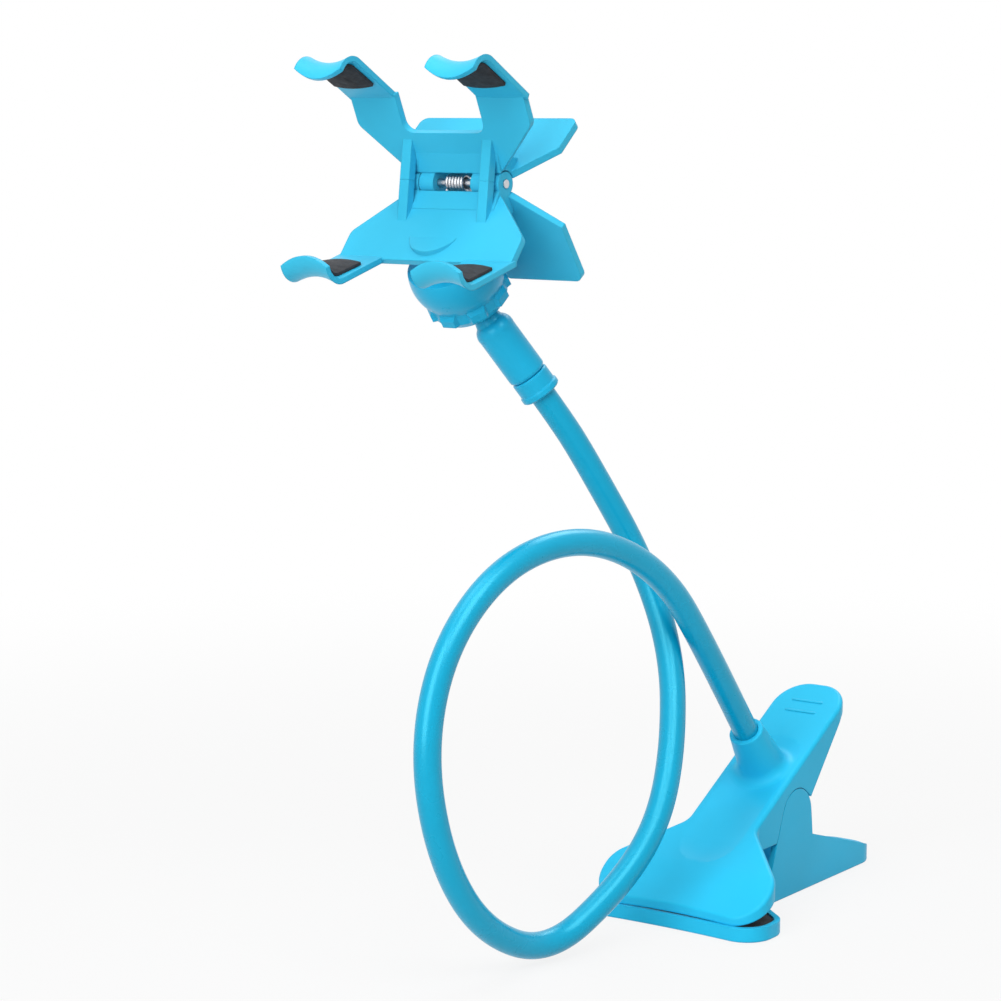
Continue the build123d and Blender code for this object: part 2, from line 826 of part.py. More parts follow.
# Clip upper half: the jaw that swings open, with a window between its claws
with BuildPart() as clip_upper_half:
    add(clip_plates(upper_wing_half, upper_wing_length))
    with BuildSketch(arm_plane):
        with Locations((0, arm_length)):
            RectangleRounded(2 * window_half, 2 * (arm_length - arm_window_at), arm_round)
    extrude(amount=-clip_wall, mode=Mode.SUBTRACT)
    add(knuckles(spring_bay_half, inner_knuckle_half, 1))
clip_upper_half.part.label = "clip_upper_half"
export_step(clip_upper_half.part, "parts/clip_upper_half.step")

# Clip lower half: also carries the stem whose cup holds the ball
with BuildPart() as clip_lower_half:
    mirror(clip_plates(lower_wing_half, lower_wing_length), about=head)
    with BuildSketch(socket_plane.offset(-nut_back - notch_lead)):
        Circle(nut_dome_r + notch_margin)
    extrude(amount=2 * nut_dome_r, mode=Mode.SUBTRACT)
    add(knuckles(inner_knuckle_half + side_gap, body_half, -1))
    with BuildSketch(socket_plane.offset(-stem_length)):
        Circle(stem_r)
    extrude(amount=stem_length - stem_end_gap)
    with Locations(ball_centre):
        Sphere(ball_r + ball_fit, mode=Mode.SUBTRACT)
clip_lower_half.part.label = "clip_lower_half"
export_step(clip_lower_half.part, "parts/clip_lower_half.step")

# Clip hinge pin
with BuildPart() as clip_hinge_pin:
    with BuildSketch(side_plane(-body_half - side_gap)):
        with Locations((hinge_behind, 0)):
            Circle(clip_pin_r)
    extrude(amount=2 * (body_half + side_gap))
clip_hinge_pin.part.label = "clip_hinge_pin"
export_step(clip_hinge_pin.part, "parts/clip_hinge_pin.step")

# Clip spring: its crossed legs push the two wings apart
clip_pin_spot = Vector(hinge_behind, 0)
clip_leg_x = leg_place(clip_wire, clip_coil_turns)
leg_inset = clip_wall + seat_gap + clip_wire / 2
leg_y = hinge_behind + wing_root_y + clip_leg_reach * deg_cos(wing_lean) + leg_inset * deg_sin(wing_lean)
leg_z = wing_root_z + clip_leg_reach * deg_sin(wing_lean) - leg_inset * deg_cos(wing_lean)
clip_pin_middle = head.from_local_coords(Vector(0, hinge_behind, 0))
with BuildPart() as clip_spring:
    with BuildSketch(Plane(origin=clip_pin_middle, x_dir=across, z_dir=-back_dir)):
        add(coil_row(clip_coil_r, clip_wire, clip_coil_turns))
    revolve(axis=Axis(clip_pin_middle, across))
    for way in (-1, 1):
        target = Vector(leg_y, way * leg_z)
        start = tangent_point(clip_pin_spot, clip_coil_r, target, -way)
        foot = head.from_local_coords(Vector(way * clip_leg_x, start.X, start.Y))
        leg = head.from_local_coords(Vector(way * clip_leg_x, target.X, target.Y)) - foot
        with BuildSketch(Plane(origin=foot, x_dir=across, z_dir=leg)):
            Circle(leg_share * clip_wire)
        extrude(amount=leg.length)
clip_spring.part.label = "clip_spring"
export_step(clip_spring.part, "parts/clip_spring.step")

# Claw pads: one inside each hook
with BuildPart() as clip_pad_upper_left:
    add(claw_pad(-1))
clip_pad_upper_left.part.label = "clip_pad_upper_left"
export_step(clip_pad_upper_left.part, "parts/clip_pad_upper_left.step")

with BuildPart() as clip_pad_upper_right:
    add(claw_pad(1))
clip_pad_upper_right.part.label = "clip_pad_upper_right"
export_step(clip_pad_upper_right.part, "parts/clip_pad_upper_right.step")

with BuildPart() as clip_pad_lower_left:
    mirror(claw_pad(-1), about=head)
clip_pad_lower_left.part.label = "clip_pad_lower_left"
export_step(clip_pad_lower_left.part, "parts/clip_pad_lower_left.step")

with BuildPart() as clip_pad_lower_right:
    mirror(claw_pad(1), about=head)
clip_pad_lower_right.part.label = "clip_pad_lower_right"
export_step(clip_pad_lower_right.part, "parts/clip_pad_lower_right.step")
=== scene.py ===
"""Looks of the desk-clamp gooseneck holder: finishes, smooth arm, coiled springs, studio and camera."""

import json
import logging
import math
from dataclasses import dataclass
from enum import Enum

import bmesh
import bpy
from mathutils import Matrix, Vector


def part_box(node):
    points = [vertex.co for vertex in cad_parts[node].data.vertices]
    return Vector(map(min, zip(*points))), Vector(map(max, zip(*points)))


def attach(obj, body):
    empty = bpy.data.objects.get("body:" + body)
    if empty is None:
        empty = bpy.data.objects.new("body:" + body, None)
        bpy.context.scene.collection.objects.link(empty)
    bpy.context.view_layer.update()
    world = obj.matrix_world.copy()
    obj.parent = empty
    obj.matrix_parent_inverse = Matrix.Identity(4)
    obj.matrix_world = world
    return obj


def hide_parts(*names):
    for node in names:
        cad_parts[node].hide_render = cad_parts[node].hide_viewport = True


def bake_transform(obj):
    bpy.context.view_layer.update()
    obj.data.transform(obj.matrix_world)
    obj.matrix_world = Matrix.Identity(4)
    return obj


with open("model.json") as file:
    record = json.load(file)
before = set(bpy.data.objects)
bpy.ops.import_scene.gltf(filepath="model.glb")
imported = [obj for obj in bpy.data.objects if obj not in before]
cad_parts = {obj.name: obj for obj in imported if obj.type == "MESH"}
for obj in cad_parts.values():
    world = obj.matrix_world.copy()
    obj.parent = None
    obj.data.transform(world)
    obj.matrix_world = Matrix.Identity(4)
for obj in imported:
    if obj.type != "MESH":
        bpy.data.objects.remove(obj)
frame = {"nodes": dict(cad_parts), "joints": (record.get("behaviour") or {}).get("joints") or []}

log = logging.getLogger("holder")
Colour = tuple[float, float, float]
Point = tuple[float, float, float]

WHITE = (1.0, 1.0, 1.0, 1.0)
# Nearly all values of a noise texture lie between these two
NOISE_LOW = 0.3
NOISE_HIGH = 0.7
# Rays that look for the edges near a point, where edges are shaded round
EDGE_SAMPLES = 6
# Welding of a copied mesh: merge distance and shortest edge kept, in metres
WELD_DISTANCE = 2e-6
SLIVER_LENGTH = 1e-7
# Largest angle between faces that is still shaded as one smooth surface
SMOOTH_ANGLE = math.radians(26.0)
# Strongest setting by which large faces keep their own normals
AREA_WEIGHT = 100
# Quadratic splines, which stay close to their control points
SPLINE_ORDER = 3


class Gloss(Enum):
    """How a plastic was finished: roughness and specular level."""

    SATIN = (0.38, 0.30)
    POLISHED = (0.30, 0.40)
    EXTRUDED = (0.28, 1.00)


class NodeBench:
    """Small helper that adds and links shader nodes in one material."""

    def __init__(self, name: str) -> None:
        """Start a node material with only a Principled shader.

        Args:
            name: name of the material.
        """
        self.material = bpy.data.materials.new(name)
        self.material.use_nodes = True
        self.tree = self.material.node_tree
        self.tree.nodes.clear()
        self.shader = self.add("ShaderNodeBsdfPrincipled")
        output = self.add("ShaderNodeOutputMaterial")
        self.link(self.shader.outputs["BSDF"], output.inputs["Surface"])
        self.place = self.add("ShaderNodeTexCoord").outputs["Object"]

    def add(self, kind: str) -> bpy.types.Node:
        """Add one node of the given type."""
        return self.tree.nodes.new(kind)

    def link(self, source: bpy.types.NodeSocket, target: bpy.types.NodeSocket) -> None:
        """Join an output socket to an input socket."""
        self.tree.links.new(source, target)

    def noise(
        self, scale: float, detail: float = 3.0, stretch: Point = (1.0, 1.0, 1.0)
    ) -> bpy.types.NodeSocket:
        """Noise in object space.

        Args:
            scale: features per metre.
            detail: number of finer octaves.
            stretch: scale along each axis, for drawn surfaces.

        Returns:
            The noise value's socket.
        """
        mapping = self.add("ShaderNodeMapping")
        mapping.inputs["Scale"].default_value = stretch
        self.link(self.place, mapping.inputs["Vector"])
        noise = self.add("ShaderNodeTexNoise")
        noise.inputs["Scale"].default_value = scale
        noise.inputs["Detail"].default_value = detail
        self.link(mapping.outputs["Vector"], noise.inputs["Vector"])
        return noise.outputs["Fac"]

    def cells(self, scale: float) -> bpy.types.NodeSocket:
        """Cell pattern in object space.

        Args:
            scale: cells per metre.

        Returns:
            The socket with the distance to the nearest cell centre.
        """
        cells = self.add("ShaderNodeTexVoronoi")
        cells.inputs["Scale"].default_value = scale
        self.link(self.place, cells.inputs["Vector"])
        return cells.outputs["Distance"]

    def roughen(self, value: bpy.types.NodeSocket, low: float, high: float) -> None:
        """Vary the shader's roughness by a noise value.

        Args:
            value: the noise value's socket.
            low: roughness at the noise's low values.
            high: roughness at the noise's high values.
        """
        spread = self.add("ShaderNodeMapRange")
        spread.inputs["From Min"].default_value = NOISE_LOW
        spread.inputs["From Max"].default_value = NOISE_HIGH
        spread.inputs["To Min"].default_value = low
        spread.inputs["To Max"].default_value = high
        self.link(value, spread.inputs["Value"])
        self.link(spread.outputs["Result"], self.shader.inputs["Roughness"])

    def tint(self, value: bpy.types.NodeSocket, dark: Colour, light: Colour) -> None:
        """Blend two colours by a noise value into the base colour.

        Args:
            value: the noise value's socket.
            dark: colour at the noise's low values.
            light: colour at the noise's high values.
        """
        ramp = self.add("ShaderNodeValToRGB")
        first, last = ramp.color_ramp.elements
        first.position = NOISE_LOW
        first.color = (*dark, 1.0)
        last.position = NOISE_HIGH
        last.color = (*light, 1.0)
        self.link(value, ramp.inputs["Fac"])
        self.link(ramp.outputs["Color"], self.shader.inputs["Base Color"])

    def relief(self, heights: list[tuple[bpy.types.NodeSocket, float, float]], edge: float) -> None:
        """Stack bumps on the shader's normal, over softly rounded edges.

        Args:
            heights: height socket, strength and depth in metres of each bump.
            edge: radius in metres to which an edge looks rounded, or 0 on a piece with no edges.
        """
        normal = None
        if edge > 0:
            rounded = self.add("ShaderNodeBevel")
            rounded.samples = EDGE_SAMPLES
            rounded.inputs["Radius"].default_value = edge
            normal = rounded.outputs["Normal"]
        for height, strength, depth in heights:
            bump = self.add("ShaderNodeBump")
            bump.inputs["Strength"].default_value = strength
            bump.inputs["Distance"].default_value = depth
            self.link(height, bump.inputs["Height"])
            if normal is not None:
                self.link(normal, bump.inputs["Normal"])
            normal = bump.outputs["Normal"]
        self.link(normal, self.shader.inputs["Normal"])


def scaled(colour: Colour, factor: float) -> Colour:
    """Colour made lighter or darker by a factor, kept below white."""
    return tuple(min(1.0, channel * factor) for channel in colour)


@dataclass(frozen=True)
class PlasticFinish:
    """Blue plastic with faint flow marks in its colour, slow ripples and a fine moulded grain."""

    name: str
    colour: Colour
    gloss: Gloss
    sheen: Colour = (0.35, 0.92, 1.00)
    index: float = 1.49
    flow_scale: float = 26.0
    flow: float = 0.05
    rough_scale: float = 90.0
    rough_change: float = 0.03
    ripple_scale: float = 70.0
    ripple: float = 0.05
    ripple_depth: float = 0.0006
    grain_scale: float = 2600.0
    grain: float = 0.10
    grain_depth: float = 0.00006
    edge: float = 0.0006

    def material(self) -> bpy.types.Material:
        """Build the node material.

        Returns:
            The new material.
        """
        bench = NodeBench(self.name)
        roughness, specular = self.gloss.value
        dark = scaled(self.colour, 1 - self.flow)
        light = scaled(self.colour, 1 + self.flow)
        bench.tint(bench.noise(self.flow_scale), dark, light)
        patches = bench.noise(self.rough_scale)
        bench.roughen(patches, roughness - self.rough_change, roughness + self.rough_change)
        bench.shader.inputs["Specular IOR Level"].default_value = specular
        bench.shader.inputs["Specular Tint"].default_value = (*self.sheen, 1.0)
        bench.shader.inputs["IOR"].default_value = self.index
        bumps = [(bench.noise(self.ripple_scale, detail=1.0), self.ripple, self.ripple_depth)]
        if self.grain > 0:
            bumps.append((bench.noise(self.grain_scale, detail=2.0), self.grain, self.grain_depth))
        bench.relief(bumps, self.edge)
        return bench.material


@dataclass(frozen=True)
class RubberFinish:
    """Black foam rubber with open pores, soft lumps and dust-grey high spots."""

    name: str
    colour: Colour
    dust: Colour
    dust_scale: float = 260.0
    rough_scale: float = 500.0
    rough_low: float = 0.72
    rough_high: float = 0.92
    pore_scale: float = 1500.0
    pore: float = 0.5
    pore_depth: float = 0.00015
    lump_scale: float = 300.0
    lump: float = 0.25
    lump_depth: float = 0.0002
    edge: float = 0.0004

    def material(self) -> bpy.types.Material:
        """Build the node material.

        Returns:
            The new material.
        """
        bench = NodeBench(self.name)
        bench.tint(bench.noise(self.dust_scale, detail=5.0), self.colour, self.dust)
        bench.roughen(bench.noise(self.rough_scale), self.rough_low, self.rough_high)
        bench.relief([
            (bench.cells(self.pore_scale), self.pore, self.pore_depth),
            (bench.noise(self.lump_scale), self.lump, self.lump_depth),
        ], self.edge)
        return bench.material


@dataclass(frozen=True)
class WireFinish:
    """Drawn metal: bright, with fine lines and a little tarnish."""

    name: str
    colour: Colour
    tarnish: Colour
    stretch: Point
    tarnish_scale: float = 150.0
    rough_low: float = 0.22
    rough_high: float = 0.42
    line_scale: float = 900.0
    line: float = 0.12
    line_depth: float = 0.00004
    edge: float = 0.0002

    def material(self) -> bpy.types.Material:
        """Build the node material.

        Returns:
            The new material.
        """
        bench = NodeBench(self.name)
        bench.shader.inputs["Metallic"].default_value = 1.0
        bench.tint(bench.noise(self.tarnish_scale, detail=4.0), self.tarnish, self.colour)
        lines = bench.noise(self.line_scale, detail=2.0, stretch=self.stretch)
        bench.roughen(lines, self.rough_low, self.rough_high)
        bench.relief([(lines, self.line, self.line_depth)], self.edge)
        return bench.material


Finish = PlasticFinish | RubberFinish | WireFinish
LINES_ALONG_X = (1.0, 6.0, 6.0)
LINES_ALONG_Z = (6.0, 6.0, 1.0)

CLAMP_BLUE = PlasticFinish("satin_clamp_blue", (0.020, 0.500, 0.790), Gloss.SATIN)
CLIP_BLUE = PlasticFinish("satin_clip_blue", (0.040, 0.475, 0.710), Gloss.SATIN)
JOINT_BLUE = PlasticFinish("polished_joint_blue", (0.012, 0.400, 0.650), Gloss.POLISHED, grain=0.05)
ARM_BLUE = PlasticFinish(
    "extruded_arm_blue",
    (0.001, 0.330, 0.550),
    Gloss.EXTRUDED,
    sheen=(0.22, 0.92, 1.00),
    ripple=0.02,
    grain=0.0,
    edge=0.0,
)
PAD_BLACK = RubberFinish("foam_pad_black", (0.010, 0.010, 0.013), (0.030, 0.031, 0.036))
SPRING_STEEL = WireFinish("spring_wire", (0.62, 0.63, 0.65), (0.42, 0.42, 0.44), LINES_ALONG_X)
PIN_STEEL = WireFinish("turned_pin", (0.66, 0.67, 0.69), (0.52, 0.52, 0.54), LINES_ALONG_X)
CORE_METAL = WireFinish("soft_core_rod", (0.78, 0.79, 0.81), (0.62, 0.63, 0.66), LINES_ALONG_Z)


@dataclass(frozen=True)
class NodeCopy:
    """A piece that is a smooth copy of a frame node: the node, the piece's name and its body."""

    node: str
    name: str
    body: str


class Workshop:
    """Makes, shades, dresses and mounts pieces, and keeps each material once."""

    def __init__(self) -> None:
        """Start with no materials."""
        self.materials: dict[str, bpy.types.Material] = {}

    def material(self, finish: Finish) -> bpy.types.Material:
        """Material of a finish, built on first use.

        Args:
            finish: the finish that is wanted.

        Returns:
            The only material of that finish.
        """
        if finish.name not in self.materials:
            self.materials[finish.name] = finish.material()
        return self.materials[finish.name]

    def dress(self, piece: bpy.types.Object, finish: Finish) -> None:
        """Give a piece one material."""
        piece.data.materials.clear()
        piece.data.materials.append(self.material(finish))

    def dress_node(self, node: str, finish: Finish) -> None:
        """Dress a frame node that stays as it is."""
        self.dress(frame["nodes"][node], finish)
        log.info("node %s is dressed as %s", node, finish.name)

    def smooth_copy(self, node: str, name: str) -> bpy.types.Object:
        """Welded copy of a frame node with clean shading.

        Args:
            node: name of the frame's node.
            name: name of the new piece.

        Returns:
            The new piece, with its place in its mesh.
        """
        mesh = frame["nodes"][node].data.copy()
        welded = bmesh.new()
        welded.from_mesh(mesh)
        bmesh.ops.remove_doubles(welded, verts=welded.verts, dist=WELD_DISTANCE)
        bmesh.ops.dissolve_degenerate(welded, dist=SLIVER_LENGTH, edges=welded.edges)
        welded.to_mesh(mesh)
        welded.free()
        # Normals kept from the loose triangles no longer fit the welded corners
        imported = mesh.attributes.get("custom_normal")
        if imported is not None:
            mesh.attributes.remove(imported)
        mesh.shade_smooth()
        mesh.set_sharp_from_angle(angle=SMOOTH_ANGLE)
        piece = bpy.data.objects.new(name, mesh)
        bpy.context.scene.collection.objects.link(piece)
        weighted = piece.modifiers.new("area_normals", "WEIGHTED_NORMAL")
        weighted.keep_sharp = True
        weighted.weight = AREA_WEIGHT
        return piece

    def mount(self, piece: bpy.types.Object, body: str, node: str) -> None:
        """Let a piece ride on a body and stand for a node.

        Args:
            piece: the finished piece.
            body: name of the body that carries it.
            node: name of the frame's node that it stands for.
        """
        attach(piece, body)
        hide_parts(node)
        log.info("piece %s rides on %s", piece.name, body)

    def add_copy(self, copy: NodeCopy, finish: Finish) -> bpy.types.Object:
        """Make a smooth copy of a node, dress it and mount it in the node's place.

        Args:
            copy: the node, the piece's name and its body.
            finish: finish of the piece.

        Returns:
            The mounted piece.
        """
        piece = self.smooth_copy(copy.node, copy.name)
        self.dress(piece, finish)
        self.mount(piece, copy.body, copy.node)
        return piece

    def bake_tree(self, piece: bpy.types.Object, name: str) -> bpy.types.Object:
        """Turn a piece with a node tree into a plain mesh piece.

        Args:
            piece: object with a Geometry Nodes modifier.
            name: name of the finished piece.

        Returns:
            The finished mesh piece. The source object is removed.
        """
        depsgraph = bpy.context.evaluated_depsgraph_get()
        mesh = bpy.data.meshes.new_from_object(piece.evaluated_get(depsgraph))
        mesh.name = name
        bpy.data.objects.remove(piece)
        baked = bpy.data.objects.new(name, mesh)
        bpy.context.scene.collection.objects.link(baked)
        return baked


class WireTree:
    """Geometry Nodes tree that sweeps a round section along a curve."""

    def __init__(self, name: str, material: bpy.types.Material) -> None:
        """Build the tree with named inputs for the section's radius and sides.

        Args:
            name: name of the tree.
            material: material of the swept tube.
        """
        self.tree = bpy.data.node_groups.new(name, "GeometryNodeTree")
        face = self.tree.interface
        face.new_socket("Path", in_out="INPUT", socket_type="NodeSocketGeometry")
        self.radius = face.new_socket("Section radius", in_out="INPUT", socket_type="NodeSocketFloat")
        self.sides = face.new_socket("Section sides", in_out="INPUT", socket_type="NodeSocketInt")
        face.new_socket("Tube", in_out="OUTPUT", socket_type="NodeSocketGeometry")
        add = self.tree.nodes.new
        link = self.tree.links.new
        start = add("NodeGroupInput")
        section = add("GeometryNodeCurvePrimitiveCircle")
        sweep = add("GeometryNodeCurveToMesh")
        sweep.inputs["Fill Caps"].default_value = True
        soft = add("GeometryNodeSetShadeSmooth")
        realize = add("GeometryNodeRealizeInstances")
        paint = add("GeometryNodeSetMaterial")
        paint.inputs["Material"].default_value = material
        end = add("NodeGroupOutput")
        link(start.outputs["Section radius"], section.inputs["Radius"])
        link(start.outputs["Section sides"], section.inputs["Resolution"])
        link(start.outputs["Path"], sweep.inputs["Curve"])
        link(section.outputs["Curve"], sweep.inputs["Profile Curve"])
        link(sweep.outputs["Mesh"], soft.inputs["Geometry"])
        link(soft.outputs["Geometry"], realize.inputs["Geometry"])
        link(realize.outputs["Geometry"], paint.inputs["Geometry"])
        link(paint.outputs["Geometry"], end.inputs["Tube"])

    def sweep(
        self, shop: Workshop, name: str, points: list[Point], radius: float, steps: int, sides: int
    ) -> bpy.types.Object:
        """Sweep the section along a smooth line.

        Args:
            shop: the workshop that bakes the result.
            name: name of the finished piece.
            points: control points of the line, in metres.
            radius: radius of the section.
            steps: steps of the line between control points.
            sides: sides of the section.

        Returns:
            The finished mesh piece.
        """
        data = bpy.data.curves.new(name + "_line", "CURVE")
        data.dimensions = "3D"
        data.resolution_u = steps
        spline = data.splines.new("NURBS")
        spline.points.add(len(points) - 1)
        for knot, point in zip(spline.points, points):
            knot.co = (*point, 1.0)
        spline.order_u = SPLINE_ORDER
        spline.use_endpoint_u = True
        line = bpy.data.objects.new(name + "_line", data)
        bpy.context.scene.collection.objects.link(line)
        modifier = line.modifiers.new("sweep", "NODES")
        modifier.node_group = self.tree
        modifier[self.radius.identifier] = radius
        modifier[self.sides.identifier] = sides
        return shop.bake_tree(line, name)


@dataclass(frozen=True)
class CoilSpring:
    """Torsion spring: a helix about the pin with two straight legs.

    The feet are the ends of the legs, measured back and up from the pin, and way is the sense of winding.
    """

    node: str
    pin: str
    name: str
    bodies: tuple[str, str]
    wire_radius: float
    coil_radius: float
    half_width: float
    full_turns: int
    way: int
    feet: tuple[tuple[float, float], tuple[float, float]]
    points_per_turn: int = 18
    steps: int = 4
    sides: int = 14

    def leave_angle(self, foot: tuple[float, float], side: int) -> float:
        """Angle in radians round the pin at which the leg to a foot leaves the coil, on its side +1 or -1."""
        return math.atan2(foot[1], foot[0]) + side * math.acos(self.coil_radius / math.hypot(*foot))

    def path(self, centre: Vector) -> list[Point]:
        """Control points from one leg's foot round the helix to the other foot.

        Args:
            centre: middle of the hinge pin.

        Returns:
            The points, in metres.
        """
        first = self.leave_angle(self.feet[0], self.way)
        last = self.leave_angle(self.feet[1], -self.way)
        turn = math.tau * self.full_turns + (self.way * (last - first)) % math.tau
        count = round(self.points_per_turn * turn / math.tau)
        left = centre.x - self.half_width
        right = centre.x + self.half_width
        points = [(left, centre.y + self.feet[0][0], centre.z + self.feet[0][1])]
        for step in range(count + 1):
            share = step / count
            angle = first + self.way * turn * share
            points.append((
                left + 2 * self.half_width * share,
                centre.y + self.coil_radius * math.cos(angle),
                centre.z + self.coil_radius * math.sin(angle),
            ))
        points.append((right, centre.y + self.feet[1][0], centre.z + self.feet[1][1]))
        return points

    def build(self, shop: Workshop) -> None:
        """Wind the spring round the pin in place of the frame's spring node.

        Args:
            shop: the workshop that makes the piece.
        """
        low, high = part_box(self.pin)
        centre = (low + high) / 2
        tree = WireTree(self.name + "_tree", shop.material(SPRING_STEEL))
        path = self.path(centre)
        spring = tree.sweep(shop, self.name, path, self.wire_radius, self.steps, self.sides)
        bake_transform(spring)
        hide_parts(self.node)
        log.info("spring %s twists between %s and %s", self.name, *self.bodies)


CLAMP_SPRING = CoilSpring(
    node="clamp_spring",
    pin="clamp_hinge_pin",
    name="clamp_coil",
    bodies=("clamp_base", "arm"),
    wire_radius=0.0009,
    coil_radius=0.0044,
    half_width=0.0040,
    full_turns=4,
    way=-1,
    feet=((0.0265, -0.0259), (0.0265, 0.0287)),
)
CLIP_SPRING = CoilSpring(
    node="clip_spring",
    pin="clip_hinge_pin",
    name="clip_coil",
    bodies=("clip_base", "clip_jaw"),
    wire_radius=0.0006,
    coil_radius=0.0027,
    half_width=0.0036,
    full_turns=5,
    way=1,
    feet=((0.01403, -0.01619), (0.01753, 0.01231)),
)


@dataclass
class Gooseneck:
    """The looped arm: one smooth tube on the route of the frame's sheath."""

    tube_radius: float = 0.0046
    steps: int = 22
    sides: int = 64
    route: tuple[Point, ...] = (
        (0.0, -0.00045, 0.05027),
        (0.0, -0.0365, 0.0955),
        (-0.003, -0.0625, 0.128),
        (-0.010, -0.098, 0.1445),
        (-0.0175, -0.134, 0.140),
        (-0.022, -0.162, 0.117),
        (-0.022, -0.175, 0.084),
        (-0.0195, -0.1695, 0.0465),
        (-0.0175, -0.149, 0.017),
        (-0.0125, -0.118, 0.0025),
        (-0.001, -0.0925, 0.0215),
        (0.0035, -0.074, 0.041),
        (0.0005, -0.060, 0.066),
        (-0.0095, -0.0455, 0.0955),
        (-0.024, -0.043, 0.127),
        (-0.0365, -0.0595, 0.163),
        (-0.043, -0.067, 0.179),
        (-0.05319, -0.07945, 0.20051),
    )

    def build(self, shop: Workshop) -> None:
        """Make the tube and dress the rod inside it.

        Args:
            shop: the workshop that makes the piece.
        """
        tree = WireTree("arm_tube_tree", shop.material(ARM_BLUE))
        tube = tree.sweep(shop, "arm_tube", list(self.route), self.tube_radius, self.steps, self.sides)
        shop.mount(tube, "arm", "gooseneck_sheath")
        shop.dress_node("gooseneck_core", CORE_METAL)


@dataclass
class ClampFoot:
    """The spring clamp: two jaws, their pads, the pin and the spring."""

    jaws: tuple[NodeCopy, ...] = (
        NodeCopy("clamp_lower_jaw", "lower_jaw", "clamp_base"),
        NodeCopy("clamp_upper_jaw", "upper_jaw", "arm"),
    )
    pads: tuple[NodeCopy, ...] = (
        NodeCopy("lower_jaw_pad", "lower_pad", "clamp_base"),
        NodeCopy("upper_jaw_pad", "upper_pad", "arm"),
    )

    def build(self, shop: Workshop) -> None:
        """Make the jaws, the pads and the spring, and dress the pin.

        Args:
            shop: the workshop that makes the pieces.
        """
        for jaw in self.jaws:
            shop.add_copy(jaw, CLAMP_BLUE)
        for pad in self.pads:
            shop.add_copy(pad, PAD_BLACK)
        CLAMP_SPRING.build(shop)
        shop.dress_node("clamp_hinge_pin", PIN_STEEL)


@dataclass
class BallJoint:
    """Collar, sleeve with ball, and lock nut with a ring of grip blocks.

    A block's corner lies past block_from_radius from the axis and past block_from_middle in front of the
    ball's middle. Up to block_middle it is one of the block's rear corners.
    """

    fixed: tuple[NodeCopy, ...] = (
        NodeCopy("sleeve_collar", "collar", "arm"),
        NodeCopy("ball_sleeve", "sleeve", "arm"),
    )
    nut: NodeCopy = NodeCopy("ball_lock_nut", "lock_nut", "lock_nut")
    block_count: int = 8
    block_from_radius: float = 0.0146
    block_from_middle: float = 0.0001
    block_width_share: float = 0.80
    block_middle: float = 0.0024
    block_ramp: float = 0.0016

    def build(self, shop: Workshop) -> None:
        """Make the joint's pieces.

        Args:
            shop: the workshop that makes the pieces.
        """
        for piece in self.fixed:
            shop.add_copy(piece, JOINT_BLUE)
        nut = shop.add_copy(self.nut, JOINT_BLUE)
        self.slim_blocks(nut.data)

    def slim_blocks(self, mesh: bpy.types.Mesh) -> None:
        """Draft the sides of the nut's grip blocks, as a mould does, and ramp them up from the dome.

        Args:
            mesh: the nut's mesh, whose outer block corners are moved inwards.
        """
        spin = next(joint for joint in frame["joints"] if joint["name"] == "head_spin")
        middle = Vector(spin["pos_m"])
        axis = Vector(spin["axis"])
        across = Vector((1.0, 0.0, 0.0))
        along = axis.cross(across)
        pitch = math.tau / self.block_count
        for vertex in mesh.vertices:
            offset = vertex.co - middle
            depth = offset.dot(axis)
            flat = offset - axis * depth
            if depth < self.block_from_middle or flat.length < self.block_from_radius:
                continue
            turn = pitch * round(math.atan2(flat.dot(along), flat.dot(across)) / pitch)
            out = across * math.cos(turn) + along * math.sin(turn)
            height = flat.dot(out)
            side = flat - out * height
            if depth < self.block_middle:
                depth += self.block_ramp
            vertex.co = middle + axis * depth + out * height + side * self.block_width_share


@dataclass
class ClawClip:
    """The sprung clip: two halves with claws, their pads, the pin and the spring."""

    halves: tuple[NodeCopy, ...] = (
        NodeCopy("clip_upper_half", "clip_upper", "clip_jaw"),
        NodeCopy("clip_lower_half", "clip_lower", "clip_base"),
    )
    pads: tuple[NodeCopy, ...] = (
        NodeCopy("clip_pad_upper_left", "claw_pad_upper_left", "clip_jaw"),
        NodeCopy("clip_pad_upper_right", "claw_pad_upper_right", "clip_jaw"),
        NodeCopy("clip_pad_lower_left", "claw_pad_lower_left", "clip_base"),
        NodeCopy("clip_pad_lower_right", "claw_pad_lower_right", "clip_base"),
    )

    def build(self, shop: Workshop) -> None:
        """Make the halves, the pads and the spring, and dress the pin.

        Args:
            shop: the workshop that makes the pieces.
        """
        for half in self.halves:
            shop.add_copy(half, CLIP_BLUE)
        for pad in self.pads:
            shop.add_copy(pad, PAD_BLACK)
        CLIP_SPRING.build(shop)
        shop.dress_node("clip_hinge_pin", PIN_STEEL)


@dataclass(frozen=True)
class Lamp:
    """A soft rectangular lamp: its place and size in metres and its power in watts."""

    name: str
    place: Point
    width: float
    height: float
    power: float


